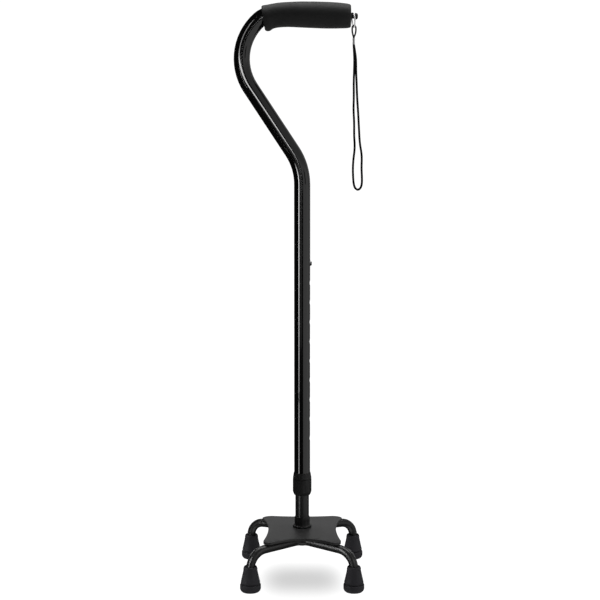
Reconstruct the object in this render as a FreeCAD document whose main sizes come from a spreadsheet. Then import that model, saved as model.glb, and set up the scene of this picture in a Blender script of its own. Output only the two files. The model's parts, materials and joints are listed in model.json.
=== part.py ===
import FreeCAD, Part
import math
import os

import Sketcher
from FreeCAD import Placement, Rotation, Vector

# Adjustable quad walking cane. Millimetres, +Z up, floor at Z = 0, shaft along the Z axis.
# The grip points along +X, and the front pair of feet is on the -Y side.

DRIVING = {
    # shaft tubes
    "tube_od": 20.8,
    "tube_wall": 1.3,
    "tube_play": 0.2,
    "lower_wall": 1.1,
    "upper_bottom": 118.0,
    "lower_length": 370.2,
    # neck of the cane: lean to the left, then the C-bend into the grip
    "bend_start": 511.4,
    "lean": 33.4,
    "low_bend_radius": 75.8,
    "lean_length": 96.8,
    "crook_radius": 65.8,
    "knuckle_radius": 25.0,
    "grip_axis": 725.8,
    "grip_droop": 1.1,
    "grip_reach": 60.3,
    # height adjustment
    "button_height": 409.6,
    "hole_pitch": 25.4,
    "hole_count": 10,
    "hole_dia": 7.0,
    "button_dia": 6.4,
    "button_stand": 2.2,
    "clip_width": 7.6,
    "clip_thick": 0.8,
    "clip_leg": 30.0,
    # foam grip
    "foam_wall": 6.7,
    "foam_back": 52.0,
    "foam_curl_start": 27.0,
    "foam_curl_radius": 55.0,
    "foam_rounding": 2.6,
    # end plug
    "plug_flange": 1.5,
    "boss_dia": 10.0,
    "boss_length": 1.4,
    "neck_dia": 6.0,
    "neck_length": 2.8,
    "knob_dia": 8.4,
    "knob_length": 4.6,
    # locking ring and the ferrule that it closes
    "collar_wall": 1.8,
    "collar_top": 127.6,
    "collar_bottom": 106.3,
    "ferrule_top": 136.0,
    "thread_wall": 0.6,
    "flute_count": 12,
    # base
    "plate_top": 63.6,
    "plate_thick": 3.0,
    "plate_dome": 800.0,
    "plate_waist": 44.3,
    "plate_middle": 50.8,
    "front_corner_x": 57.0,
    "front_corner_y": 76.6,
    "front_round": 8.0,
    "rear_corner_x": 65.0,
    "rear_corner_y": 75.4,
    "rear_round": 10.0,
    "socket_lip": 3.3,
    "socket_flange": 2.3,
    "socket_wall": 1.05,
    "socket_rise": 13.7,
    "stud_dia": 7.9,
    "nut_flats": 13.0,
    "nut_thick": 6.5,
    "cover_length": 19.7,
    # legs
    "leg_od": 11.1,
    "leg_wall": 1.2,
    "front_half_track": 65.3,
    "rear_half_track": 69.0,
    "half_base": 68.7,
    "leg_apex": 29.5,
    "apex_radius": 20.0,
    "front_bend_radius": 22.5,
    "rear_bend_radius": 19.0,
    "leg_drop": 4.6,
    # rubber tips
    "tip_height": 32.3,
    "tip_flange_dia": 26.4,
    "tip_flange": 9.2,
    "tip_top_wall": 2.7,
    "tip_sole_dia": 21.6,
    "tip_mouth": 4.4,
    "tip_floor": 8.0,
    "panel_count": 10,
    # strap
    "ring_dia": 17.8,
    "ring_wire": 1.8,
    "cord_dia": 2.8,
    "loop_cord_dia": 2.1,
    "crimp_height": 7.9,
    # clearances
    "fit": 0.05,
    "slide_fit": 0.1,
    "soft_fit": 0.2,
    "seat_gap": 0.3,
}


class Size:
    # A measure that is known both as a number and as a formula over the sheet.
    def __init__(self, value, formula):
        self.value = value
        self.formula = formula

    def __add__(self, other):
        other = as_size(other)
        return Size(self.value + other.value, f"({self.formula} + {other.formula})")

    def __sub__(self, other):
        other = as_size(other)
        return Size(self.value - other.value, f"({self.formula} - {other.formula})")

    def __mul__(self, other):
        other = as_size(other)
        return Size(self.value * other.value, f"({self.formula} * {other.formula})")

    def __truediv__(self, other):
        other = as_size(other)
        return Size(self.value / other.value, f"({self.formula} / {other.formula})")

    def __neg__(self):
        return Size(-self.value, f"(0 - {self.formula})")

    def __radd__(self, other):
        return as_size(other) + self

    def __rsub__(self, other):
        return as_size(other) - self

    def __rmul__(self, other):
        return as_size(other) * self

    def __rtruediv__(self, other):
        return as_size(other) / self

    def root(self):
        return Size(math.sqrt(self.value), f"sqrt({self.formula})")

    def sine(self):
        return Size(math.sin(math.radians(self.value)), f"sin({self.formula} * 1 deg)")

    def cosine(self):
        return Size(math.cos(math.radians(self.value)), f"cos({self.formula} * 1 deg)")


def as_size(value):
    return value if isinstance(value, Size) else Size(float(value), repr(float(value)))


doc = FreeCAD.newDocument("QuadCane")
sheet = doc.addObject("Spreadsheet::Sheet", "Sizes")
for row, (name, value) in enumerate(DRIVING.items(), start=1):
    sheet.set(f"A{row}", name)
    sheet.set(f"B{row}", str(value))
    sheet.setAlias(f"B{row}", name)
doc.recompute()


def size(name):
    return Size(float(DRIVING[name]), f"Sizes.{name}")


# Sketches and features.


def origin_part(body, role):
    return next(f for f in body.Origin.OriginFeatures if f.Role == role)


def new_body(name, base=None, turn=None):
    # A body with its own place: base gives the bound X, Y and Z of its origin.
    body = doc.addObject("PartDesign::Body", name)
    body.Label = name
    if turn:
        body.Placement = Placement(Vector(), turn)
    for letter, value in zip("xyz", base or ()):
        body.setExpression(f"Placement.Base.{letter}", as_size(value).formula)
    return body


def new_sketch(body, name, plane, lift=None):
    sketch = body.newObject("Sketcher::SketchObject", name)
    sketch.AttachmentSupport = [(origin_part(body, plane), "")]
    sketch.MapMode = "FlatFace"
    if lift is not None:
        sketch.AttachmentOffset = Placement(Vector(0, 0, lift.value), Rotation())
        sketch.setExpression("AttachmentOffset.Base.z", lift.formula)
    return sketch


def bind(sketch, constraint, formula):
    index = sketch.addConstraint(constraint)
    sketch.setExpression(f"Constraints[{index}]", formula)


def pin_point(sketch, edge, end, x, y):
    # Ties one end of an edge to the sketch's origin by its two coordinates.
    if abs(x.value) < 1e-9:
        sketch.addConstraint(Sketcher.Constraint("PointOnObject", edge, end, -2))
    else:
        bind(sketch, Sketcher.Constraint("DistanceX", -1, 1, edge, end, x.value), x.formula)
    if abs(y.value) < 1e-9:
        sketch.addConstraint(Sketcher.Constraint("PointOnObject", edge, end, -1))
    else:
        bind(sketch, Sketcher.Constraint("DistanceY", -1, 1, edge, end, y.value), y.formula)


def polygon(sketch, points):
    # A closed outline whose corners are all bound to the sheet.
    points = [(as_size(x), as_size(y)) for x, y in points]
    corners = [Vector(x.value, y.value, 0) for x, y in points]
    first = sketch.GeometryCount
    count = len(corners)
    for i in range(count):
        sketch.addGeometry(Part.LineSegment(corners[i], corners[(i + 1) % count]), False)
    for i in range(count):
        nxt = first + (i + 1) % count
        sketch.addConstraint(Sketcher.Constraint("Coincident", first + i, 2, nxt, 1))
    for i, (x, y) in enumerate(points):
        pin_point(sketch, first + i, 1, x, y)


def circle(sketch, radius, x=0.0, y=0.0):
    x, y, radius = as_size(x), as_size(y), as_size(radius)
    shape = Part.Circle(Vector(x.value, y.value, 0), Vector(0, 0, 1), radius.value)
    edge = sketch.addGeometry(shape, False)
    pin_point(sketch, edge, 3, x, y)
    bind(sketch, Sketcher.Constraint("Radius", edge, radius.value), radius.formula)


def path(sketch, stretches):
    # An open run of lines and arcs. Each entry is (start, end) or (start, end, centre, radius).
    last = None
    for stretch in stretches:
        (ax, ay), (bx, by) = stretch[0], stretch[1]
        a = Vector(ax.value, ay.value, 0)
        b = Vector(bx.value, by.value, 0)
        if len(stretch) == 2:
            edge = sketch.addGeometry(Part.LineSegment(a, b), False)
            starts = 1
            ends = 2
        else:
            cx, cy = stretch[2]
            radius = stretch[3]
            centre = Vector(cx.value, cy.value, 0)
            turn = (a - centre).cross(b - centre).z
            low = math.atan2(a.y - centre.y, a.x - centre.x)
            high = math.atan2(b.y - centre.y, b.x - centre.x)
            if turn < 0:
                low, high = high, low
            starts, ends = (1, 2) if turn > 0 else (2, 1)
            ring = Part.Circle(centre, Vector(0, 0, 1), radius.value)
            edge = sketch.addGeometry(Part.ArcOfCircle(ring, low, high), False)
            bind(sketch, Sketcher.Constraint("Radius", edge, radius.value), radius.formula)
        if last is None:
            pin_point(sketch, edge, starts, ax, ay)
        else:
            sketch.addConstraint(Sketcher.Constraint("Coincident", last[0], last[1], edge, starts))
        pin_point(sketch, edge, ends, bx, by)
        last = edge, ends


def revolve(body, sketch, name="Turned", axis="V_Axis"):
    feature = body.newObject("PartDesign::Revolution", name)
    feature.Profile = sketch
    feature.ReferenceAxis = (sketch, [axis])
    feature.Angle = 360.0
    return feature


def pad(body, sketch, length, name="Pad", both=False):
    feature = body.newObject("PartDesign::Pad", name)
    feature.Profile = sketch
    feature.setExpression("Length", as_size(length).formula)
    feature.Midplane = both
    return feature


def pocket(body, sketch, length, name="Pocket", both=False, flip=False):
    feature = body.newObject("PartDesign::Pocket", name)
    feature.Profile = sketch
    feature.setExpression("Length", as_size(length).formula)
    feature.Midplane = both
    feature.Reversed = flip
    return feature


def pipe(body, profile, spine, name, kind="PartDesign::AdditivePipe"):
    feature = body.newObject(kind, name)
    feature.Profile = profile
    feature.Spine = spine
    return feature


def fillet(body, edges, radius, name):
    base = body.Tip
    feature = body.newObject("PartDesign::Fillet", name)
    feature.Base = (base, edges)
    feature.setExpression("Radius", as_size(radius).formula)
    return feature


def polar(body, feature, sketch, count, angle=360.0, name="Around", axis="N_Axis"):
    # Repeats a feature round an axis of the sketch, its normal unless another is named.
    pattern = body.newObject("PartDesign::PolarPattern", name)
    pattern.Originals = [feature]
    pattern.Axis = (sketch, [axis])
    pattern.Angle = angle
    pattern.Occurrences = int(count)
    body.Tip = pattern
    return pattern


def turned(name, points, base=None, turn=None):
    # A body of revolution about its own Z axis from (radius, height) corners.
    body = new_body(name, base, turn)
    sketch = new_sketch(body, name + "_profile", "XZ_Plane")
    polygon(sketch, points)
    revolve(body, sketch)
    return body


def feature_shape(name, shape, place=None):
    feature = doc.addObject("Part::Feature", name)
    feature.Label = name
    feature.Shape = shape
    if place:
        feature.Placement = place
    return feature


def removed(before, after):
    # How much a cutting feature took away.
    return before.Shape.Volume - after.Shape.Volume


# Shared sizes.

tube_r = size("tube_od") / 2
tube_bore = tube_r - size("tube_wall")
lower_r = tube_bore - size("tube_play")
lower_bore = lower_r - size("lower_wall")
plate_top = size("plate_top")
plate_bottom = plate_top - size("plate_thick")
fit = size("fit")
TO_X = Rotation(Vector(0, 1, 0), 90)

nodes = {}

# Upper tube.
# The centre line: up the shaft, a bend to the left, a straight lean, the wide crook, then a
# tighter knuckle into the grip, which droops a little towards its free end.

lean_sin = size("lean").sine()
lean_cos = size("lean").cosine()
droop_sin = size("grip_droop").sine()
droop_cos = size("grip_droop").cosine()
low_r = size("low_bend_radius")
crook_r = size("crook_radius")
knuckle_r = size("knuckle_radius")
zero = as_size(0.0)

foot = (zero, size("upper_bottom"))
bend_in = (zero, size("bend_start"))
bend_centre = (-low_r, size("bend_start"))
bend_out = (low_r * (lean_cos - 1.0), size("bend_start") + low_r * lean_sin)
crook_in = (
    bend_out[0] - size("lean_length") * lean_sin,
    bend_out[1] + size("lean_length") * lean_cos,
)
crook_centre = (crook_in[0] + crook_r * lean_cos, crook_in[1] + crook_r * lean_sin)
hand_cos = (size("grip_axis") - crook_centre[1] - knuckle_r) / (crook_r - knuckle_r)
hand_sin = (1.0 - hand_cos * hand_cos).root()
knuckle_centre = (
    crook_centre[0] - (crook_r - knuckle_r) * hand_sin,
    crook_centre[1] + (crook_r - knuckle_r) * hand_cos,
)
crook_out = (
    crook_centre[0] - crook_r * hand_sin,
    crook_centre[1] + crook_r * hand_cos,
)
knuckle_out = (
    knuckle_centre[0] + knuckle_r * droop_sin,
    knuckle_centre[1] + knuckle_r * droop_cos,
)


def along_grip(x):
    # The point of the grip's axis at this X.
    return x, knuckle_out[1] - (x - knuckle_out[0]) * droop_sin / droop_cos


tube_end = along_grip(size("grip_reach"))
TUBE_PATH = [
    (foot, bend_in),
    (bend_in, bend_out, bend_centre, low_r),
    (bend_out, crook_in),
    (crook_in, crook_out, crook_centre, crook_r),
    (crook_out, knuckle_out, knuckle_centre, knuckle_r),
    (knuckle_out, tube_end),
]

body = new_body("upper_tube")
spine = new_sketch(body, "tube_path", "XZ_Plane")
path(spine, TUBE_PATH)
section = new_sketch(body, "tube_section", "XY_Plane", size("upper_bottom"))
circle(section, tube_r)
circle(section, tube_bore)
whole = pipe(body, section, spine, "Bent")
doc.recompute()
hole = new_sketch(body, "hole_outline", "YZ_Plane")
circle(hole, size("hole_dia") / 2, 0.0, size("button_height"))
drilled = pocket(body, hole, tube_r + 2.0, "AdjustmentHole", flip=True)
doc.recompute()
one_hole = removed(whole, drilled)
row = body.newObject("PartDesign::LinearPattern", "HoleRow")
row.Originals = [drilled]
row.Direction = (hole, ["V_Axis"])
row.Reversed = True
row.setExpression("Length", (size("hole_pitch") * (size("hole_count") - 1.0)).formula)
row.Occurrences = int(DRIVING["hole_count"])
body.Tip = row
doc.recompute()
all_holes = removed(whole, row)
if not 0.98 * DRIVING["hole_count"] < all_holes / one_hole < 1.02 * DRIVING["hole_count"]:
    raise RuntimeError("the row of adjustment holes is not complete")
nodes["upper_tube"] = body

# Foam grip.
# A sleeve that stays straight over the grip and curls down a little over the knuckle. Its
# back end is cut upright.

foam_r = tube_r + size("foam_wall")
curl_r = size("foam_curl_radius")
foam_end = along_grip(size("grip_reach") + size("plug_flange"))
curl_in = along_grip(-size("foam_curl_start"))
CURL = as_size(30.0)
curl_centre = (curl_in[0] - curl_r * droop_sin, curl_in[1] - curl_r * droop_cos)
curl_out = (
    curl_centre[0] - curl_r * CURL.sine(),
    curl_centre[1] + curl_r * CURL.cosine(),
)
body = new_body("foam_grip")
spine = new_sketch(body, "foam_path", "XZ_Plane")
path(spine, [(foam_end, curl_in), (curl_in, curl_out, curl_centre, curl_r)])
section = new_sketch(body, "foam_section", "YZ_Plane", foam_end[0])
circle(section, foam_r / droop_cos, 0.0, foam_end[1])
pipe(body, section, spine, "Sleeve")
doc.recompute()
edge = new_sketch(body, "foam_back_cut", "XZ_Plane")
back = -size("foam_back")
polygon(
    edge,
    [
        (back - 60.0, foam_end[1] - 80.0),
        (back, foam_end[1] - 80.0),
        (back, foam_end[1] + 80.0),
        (back - 60.0, foam_end[1] + 80.0),
    ],
)
pocket(body, edge, foam_r * 4.0, "BackCut", both=True)
doc.recompute()
rim = [
    f"Edge{i}"
    for i, e in enumerate(body.Shape.Edges, start=1)
    if e.BoundBox.XMin > foam_end[0].value - 1.5
]
fillet(body, rim, size("foam_rounding"), "FrontRounding")
doc.recompute()
bore_path = new_sketch(body, "bore_path", "XZ_Plane")
past_end = along_grip(size("grip_reach") + size("plug_flange") + 5.0)
path(
    bore_path,
    [
        (past_end, knuckle_out),
        (knuckle_out, crook_out, knuckle_centre, knuckle_r),
        (crook_out, crook_in, crook_centre, crook_r),
    ],
)
bore = new_sketch(body, "bore_section", "YZ_Plane", past_end[0])
circle(bore, (tube_r + size("soft_fit")) / droop_cos, 0.0, past_end[1])
pipe(body, bore, bore_path, "Bore", "PartDesign::SubtractivePipe")
doc.recompute()
nodes["foam_grip"] = body

# End plug.
# Turned about the grip's axis: a spigot in the tube, a flange over its end, a tapered boss,
# a neck for the strap's ring and a round knob.

spigot = 14.0
boss_top = size("plug_flange") + size("boss_length")
neck_top = boss_top + size("neck_length")
knob_r = size("knob_dia") / 2
grip_turn = Rotation(Vector(0, 1, 0), 90 + DRIVING["grip_droop"])
nodes["grip_end_plug"] = turned(
    "grip_end_plug",
    [
        (0, -spigot),
        (tube_bore - size("soft_fit") - 1.0, -spigot),
        (tube_bore - size("soft_fit"), 1.0 - spigot),
        (tube_bore - size("soft_fit"), 0),
        (tube_r - 0.2, 0),
        (tube_r - 0.2, size("plug_flange") - 0.3),
        (tube_r - 0.5, size("plug_flange")),
        (size("boss_dia") / 2, size("plug_flange")),
        (size("boss_dia") / 2 - 1.6, boss_top),
        (size("neck_dia") / 2, boss_top),
        (size("neck_dia") / 2, neck_top),
        (knob_r - 1.0, neck_top),
        (knob_r, neck_top + 1.0),
        (knob_r, neck_top + size("knob_length") - 1.8),
        (knob_r - 0.6, neck_top + size("knob_length") - 0.7),
        (knob_r - 1.9, neck_top + size("knob_length")),
        (0, neck_top + size("knob_length")),
    ],
    (tube_end[0], zero, tube_end[1]),
    grip_turn,
)

# Locking ring and its collet ferrule.

collar_r = tube_r + size("collar_wall")
thread_r = tube_r + size("thread_wall")
collar_top = size("collar_top")
collar_bottom = size("collar_bottom")
jaw_bottom = collar_bottom + 1.5
step = size("upper_bottom") - 0.2
shoulder = collar_top + 0.2
body = turned(
    "lock_bushing",
    [
        (tube_r + fit, step),
        (tube_r + fit, size("ferrule_top")),
        (tube_r + 0.5, size("ferrule_top")),
        (collar_r - 0.1, shoulder + 0.8),
        (collar_r - 0.1, shoulder),
        (thread_r, shoulder),
        (thread_r, jaw_bottom + 3.6),
        (thread_r - 1.0, jaw_bottom),
        (lower_r + size("slide_fit"), jaw_bottom),
        (lower_r + size("slide_fit"), step),
    ],
)
doc.recompute()
slit = new_sketch(body, "slit_outline", "XZ_Plane")
polygon(
    slit,
    [(-0.75, jaw_bottom - 1.0), (0.75, jaw_bottom - 1.0), (0.75, step - 1.0), (-0.75, step - 1.0)],
)
cut = pocket(body, slit, thread_r * 2.0 + 4.0, "Slit", both=True)
doc.recompute()
turn_about = new_sketch(body, "slit_centre", "XY_Plane")
circle(turn_about, 1.0)
polar(body, cut, turn_about, 2, 90.0, "Slits")
doc.recompute()
nodes["lock_bushing"] = body

run = size("slide_fit")
body = turned(
    "lock_collar",
    [
        (thread_r + run, collar_top),
        (collar_r - 0.5, collar_top),
        (collar_r, collar_top - 0.5),
        (collar_r, collar_bottom + 4.6),
        (collar_r - 1.9, collar_bottom),
        (lower_r + 0.4, collar_bottom),
        (lower_r + 0.4, jaw_bottom - 0.4),
        (thread_r - 1.0 + run, jaw_bottom - 0.4),
        (thread_r + run, jaw_bottom + 3.6),
    ],
)
doc.recompute()
flute = new_sketch(body, "flute_outline", "XY_Plane", collar_bottom - 1.0)
half_pitch = 180.0 / size("flute_count")
flute_out = collar_r + 0.65
circle(flute, 1.1, flute_out * half_pitch.cosine(), flute_out * half_pitch.sine())
before = body.Tip
cut = pocket(body, flute, collar_top - collar_bottom - 2.5, "Flute", flip=True)
doc.recompute()
if removed(before, cut) < 1.0:
    raise RuntimeError("the flute cuts nothing")
polar(body, cut, flute, DRIVING["flute_count"], 360.0, "Flutes")
doc.recompute()
nodes["lock_collar"] = body

# Lower tube and what it holds.

body = new_body("lower_tube", (zero, zero, plate_top))
section = new_sketch(body, "lower_section", "XY_Plane")
circle(section, lower_r)
circle(section, lower_bore)
whole = pad(body, section, size("lower_length"))
doc.recompute()
hole = new_sketch(body, "button_hole", "YZ_Plane")
circle(hole, size("button_dia") / 2 + 0.2, 0.0, size("button_height") - plate_top)
drilled = pocket(body, hole, lower_r + 2.0, "ButtonHole", flip=True)
doc.recompute()
if removed(whole, drilled) < 10.0:
    raise RuntimeError("the button's hole cuts nothing")
nodes["lower_tube"] = body

nodes["guide_bushing"] = turned(
    "guide_bushing",
    [
        (lower_bore - 2.0, -12.0),
        (lower_bore - 0.15, -12.0),
        (lower_bore - 0.15, 0),
        (tube_bore - size("slide_fit"), 0),
        (tube_bore - size("slide_fit"), 2.0),
        (tube_bore - size("slide_fit") - 0.5, 2.5),
        (lower_bore - 2.0, 2.5),
    ],
    (zero, zero, plate_top + size("lower_length")),
)

# The leaf spring lies along both walls of the lower tube; the button is riveted to one leg.
half_clip = size("clip_width") / 2
leaf_out = (lower_bore * lower_bore - half_clip * half_clip).root() - 0.1
leaf_in = leaf_out - size("clip_thick")
body = new_body("spring_clip", (zero, zero, size("button_height")))
leaf = new_sketch(body, "leaf_outline", "XZ_Plane")
low = -size("clip_leg")
u_turn = (zero, low)
outer = [
    ((leaf_in, as_size(7.0)), (leaf_out, as_size(7.0))),
    ((leaf_out, as_size(7.0)), (leaf_out, low)),
    ((leaf_out, low), (zero, low - leaf_out), u_turn, leaf_out),
    ((zero, low - leaf_out), (-leaf_out, low), u_turn, leaf_out),
    ((-leaf_out, low), (-leaf_out, as_size(-4.0))),
    ((-leaf_out, as_size(-4.0)), (-leaf_in, as_size(-4.0))),
    ((-leaf_in, as_size(-4.0)), (-leaf_in, low)),
    ((-leaf_in, low), (zero, low - leaf_in), u_turn, leaf_in),
    ((zero, low - leaf_in), (leaf_in, low), u_turn, leaf_in),
    ((leaf_in, low), (leaf_in, as_size(7.0))),
]
path(leaf, outer)
whole = pad(body, leaf, size("clip_width"), both=True)
doc.recompute()
rivet_r = 1.5
hole = new_sketch(body, "rivet_hole", "YZ_Plane")
circle(hole, rivet_r + 0.1)
drilled = pocket(body, hole, leaf_out + 2.0, "RivetHole", flip=True)
doc.recompute()
if removed(whole, drilled) < 1.0:
    raise RuntimeError("the rivet's hole cuts nothing")
nodes["spring_clip"] = body

button_r = size("button_dia") / 2
button_rise = tube_r + size("button_stand") - leaf_out
tail = -size("clip_thick") - 0.7
nodes["snap_button"] = turned(
    "snap_button",
    [
        (0, tail),
        (rivet_r + 0.9, tail),
        (rivet_r + 0.9, -size("clip_thick") - 0.05),
        (rivet_r, -size("clip_thick") - 0.05),
        (rivet_r, 0.05),
        (button_r, 0.05),
        (button_r, button_rise - 1.2),
        (button_r - 0.35, button_rise - 0.45),
        (button_r - 1.1, button_rise),
        (0, button_rise),
    ],
    (leaf_out, zero, size("button_height")),
    TO_X,
)

# Base plate.
# A waisted outline with four rounded ears, padded and then kept between two large concentric
# spheres, so that the plate is slightly domed. The rear ears stand out more than the front ones.

waist = size("plate_waist")
front_x = size("front_corner_x")
front_y = size("front_corner_y")
rear_x = size("rear_corner_x")
rear_y = size("rear_corner_y")


def end_arc(half_width, reach):
    # The centre's distance and the radius of the hollow arc between two corners.
    sag = reach - size("plate_middle")
    radius = (half_width * half_width + sag * sag) / (2.0 * sag)
    return size("plate_middle") + radius, radius


# the long side is the circle through a front corner, the waist and a rear corner
front_sq = front_x * front_x + front_y * front_y
rear_sq = rear_x * rear_x + rear_y * rear_y
waist_sq = waist * waist
scale = 2.0 * (waist * (rear_y + front_y) - front_x * rear_y - rear_x * front_y)
side_x = (waist_sq * (rear_y + front_y) - front_sq * rear_y - rear_sq * front_y) / scale
side_y = (front_sq * (rear_x - waist) + waist_sq * (front_x - rear_x)
          + rear_sq * (waist - front_x)) / scale
side_r = ((side_x - waist) * (side_x - waist) + side_y * side_y).root()
front_c, front_r = end_arc(front_x, front_y)
rear_c, rear_r = end_arc(rear_x, rear_y)
body = new_body("plate_blank")
outline = new_sketch(body, "plate_outline", "XY_Plane", plate_bottom - 10.0)
corners = [(front_x, -front_y), (rear_x, rear_y), (-rear_x, rear_y), (-front_x, -front_y)]
path(
    outline,
    [
        (corners[0], corners[1], (side_x, side_y), side_r),
        (corners[1], corners[2], (zero, rear_c), rear_r),
        (corners[2], corners[3], (-side_x, side_y), side_r),
        (corners[3], corners[0], (zero, -front_c), front_r),
    ],
)
stud_hole = size("stud_dia") / 2 + 0.3
circle(outline, stud_hole)
pad(body, outline, size("plate_thick") + 12.0)
for end, name in ((-1, "front_round"), (1, "rear_round")):
    doc.recompute()
    upright = [
        f"Edge{i}"
        for i, e in enumerate(body.Shape.Edges, start=1)
        if e.BoundBox.XLength < 1e-6 and e.BoundBox.YLength < 1e-6
        and e.BoundBox.YMin * end > size("plate_middle").value
    ]
    fillet(body, upright, size(name), name + "ing")
doc.recompute()
dome = []
dome_under = size("plate_dome") - size("plate_thick")
for name, radius in (("dome_above", size("plate_dome")), ("dome_below", dome_under)):
    ball = doc.addObject("Part::Sphere", name)
    ball.setExpression("Radius", radius.formula)
    ball.setExpression("Placement.Base.z", (plate_top - size("plate_dome")).formula)
    dome.append(ball)
shell = doc.addObject("Part::Common", "plate_under_dome")
shell.Base = body
shell.Tool = dome[0]
plate = doc.addObject("Part::Cut", "base_plate")
plate.Label = "base_plate"
plate.Base = shell
plate.Tool = dome[1]
doc.recompute()
nodes["base_plate"] = plate

# The foot of the shaft on the plate.

socket_r = lower_r + size("socket_wall")
lip_r = lower_r + size("socket_lip")
nodes["base_socket"] = turned(
    "base_socket",
    [
        (lower_r + fit, 0.05),
        (lip_r, 0.05),
        (lip_r, size("socket_flange") - 0.4),
        (lip_r - 0.4, size("socket_flange")),
        (socket_r + 0.6, size("socket_flange")),
        (socket_r, size("socket_flange") + 0.8),
        (socket_r - 0.1, size("socket_rise") - 1.6),
        (lower_r + 0.45, size("socket_rise")),
        (lower_r + fit, size("socket_rise")),
    ],
    (zero, zero, plate_top),
)
stud_r = size("stud_dia") / 2
insert_length = 20.0
nodes["stem_insert"] = turned(
    "stem_insert",
    [
        (stud_r + fit, 0.05),
        (lower_bore - fit, 0.05),
        (lower_bore - fit, insert_length - 1.0),
        (lower_bore - fit - 1.0, insert_length),
        (stud_r + fit, insert_length),
    ],
    (zero, zero, plate_top),
)
washer_thick = 1.6
washer_top = plate_bottom - 0.12
nut_top = washer_top - washer_thick
stud_end = nut_top - size("nut_thick") - 2.0
nodes["stem_stud"] = turned(
    "stem_stud",
    [
        (0, stud_end),
        (stud_r - 0.8, stud_end),
        (stud_r, stud_end + 0.8),
        (stud_r, plate_top + insert_length - 2.8),
        (stud_r - 0.8, plate_top + insert_length - 2.0),
        (0, plate_top + insert_length - 2.0),
    ],
)
cover_bore = size("nut_flats") / math.sqrt(3.0) + fit
cover_r = cover_bore + 0.85
nodes["stem_washer"] = turned(
    "stem_washer",
    [
        (stud_hole, nut_top),
        (cover_r + 1.2, nut_top),
        (cover_r + 1.2, washer_top),
        (stud_hole, washer_top),
    ],
)
body = new_body("stem_nut", (zero, zero, nut_top - size("nut_thick")))
hexagon = new_sketch(body, "nut_outline", "XY_Plane")
across = size("nut_flats") / math.sqrt(3.0)
polygon(
    hexagon,
    [
        (across * round(math.cos(math.radians(a)), 12), across * round(math.sin(math.radians(a)), 12))
        for a in range(0, 360, 60)
    ],
)
circle(hexagon, stud_r + fit)
pad(body, hexagon, size("nut_thick"))
nodes["stem_nut"] = body
cover_end = nut_top - size("cover_length")
nodes["nut_cover"] = turned(
    "nut_cover",
    [
        (cover_bore, nut_top - 0.05),
        (cover_r, nut_top - 0.05),
        (cover_r, cover_end + 2.6),
        (cover_r - 0.7, cover_end + 0.9),
        (cover_r - 2.4, cover_end),
        (0, cover_end),
        (0, cover_end + 1.4),
        (cover_bore - 1.6, cover_end + 1.4),
        (cover_bore, cover_end + 3.0),
    ],
)

# Leg tubes.
# Each tube makes two legs: up out of one tip, over into an arm under the plate, a bend near
# the shaft, and back out to the other tip. The arms fall a little towards the legs.


def rounded_wire(points, radii):
    # Straight runs between the points, with a tangent arc at each inner one.
    edges = []
    start = points[0]
    for i in range(1, len(points) - 1):
        corner = points[i]
        back_way = points[i - 1] - corner
        fore_way = points[i + 1] - corner
        back_way.normalize()
        fore_way.normalize()
        half_turn = (math.pi - back_way.getAngle(fore_way)) / 2
        reach = radii[i - 1] * math.tan(half_turn)
        a = corner + back_way * reach
        b = corner + fore_way * reach
        bisector = back_way + fore_way
        bisector.normalize()
        rise = radii[i - 1] / math.cos(half_turn) - radii[i - 1]
        if start.distanceToPoint(a) > 1e-6:
            edges.append(Part.LineSegment(start, a).toShape())
        edges.append(Part.Arc(a, corner + bisector * rise, b).toShape())
        start = b
    edges.append(Part.LineSegment(start, points[-1]).toShape())
    return Part.Wire(edges)


def swept(wire, radius):
    first = wire.Edges[0]
    start = first.valueAt(first.FirstParameter)
    heading = first.tangentAt(first.FirstParameter)
    ring = Part.Wire([Part.Circle(start, heading, radius).toShape()])
    return wire.makePipeShell([ring], True, True)


def number(name):
    return float(sheet.get(name))


leg_r = number("leg_od") / 2
leg_bore = leg_r - number("leg_wall")
inner_dome = number("plate_dome") - number("plate_thick")


def plate_under(x, y):
    # The height of the plate's lower face over this point of the floor.
    centre = number("plate_top") - number("plate_dome")
    return centre + math.sqrt(inner_dome**2 - x * x - y * y)


def leg_points(half_track, side):
    half_base = number("half_base")
    apex_y = side * number("leg_apex")
    top = plate_under(0.0, apex_y) - leg_r - number("seat_gap")
    knee = top - number("leg_drop")
    foot_z = number("tip_floor")
    return [
        Vector(-half_track, side * half_base, foot_z),
        Vector(-half_track, side * half_base, knee),
        Vector(0.0, apex_y, top),
        Vector(half_track, side * half_base, knee),
        Vector(half_track, side * half_base, foot_z),
    ]


legs = {}
for name, end, side in (("front_leg_tube", "front", -1), ("rear_leg_tube", "rear", 1)):
    legs[name] = leg_points(number(end + "_half_track"), side)
    bend = number(end + "_bend_radius")
    wire = rounded_wire(legs[name], [bend, number("apex_radius"), bend])
    shape = swept(wire, leg_r).cut(swept(wire, leg_bore))
    nodes[name] = feature_shape(name, shape.Solids[0])

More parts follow.
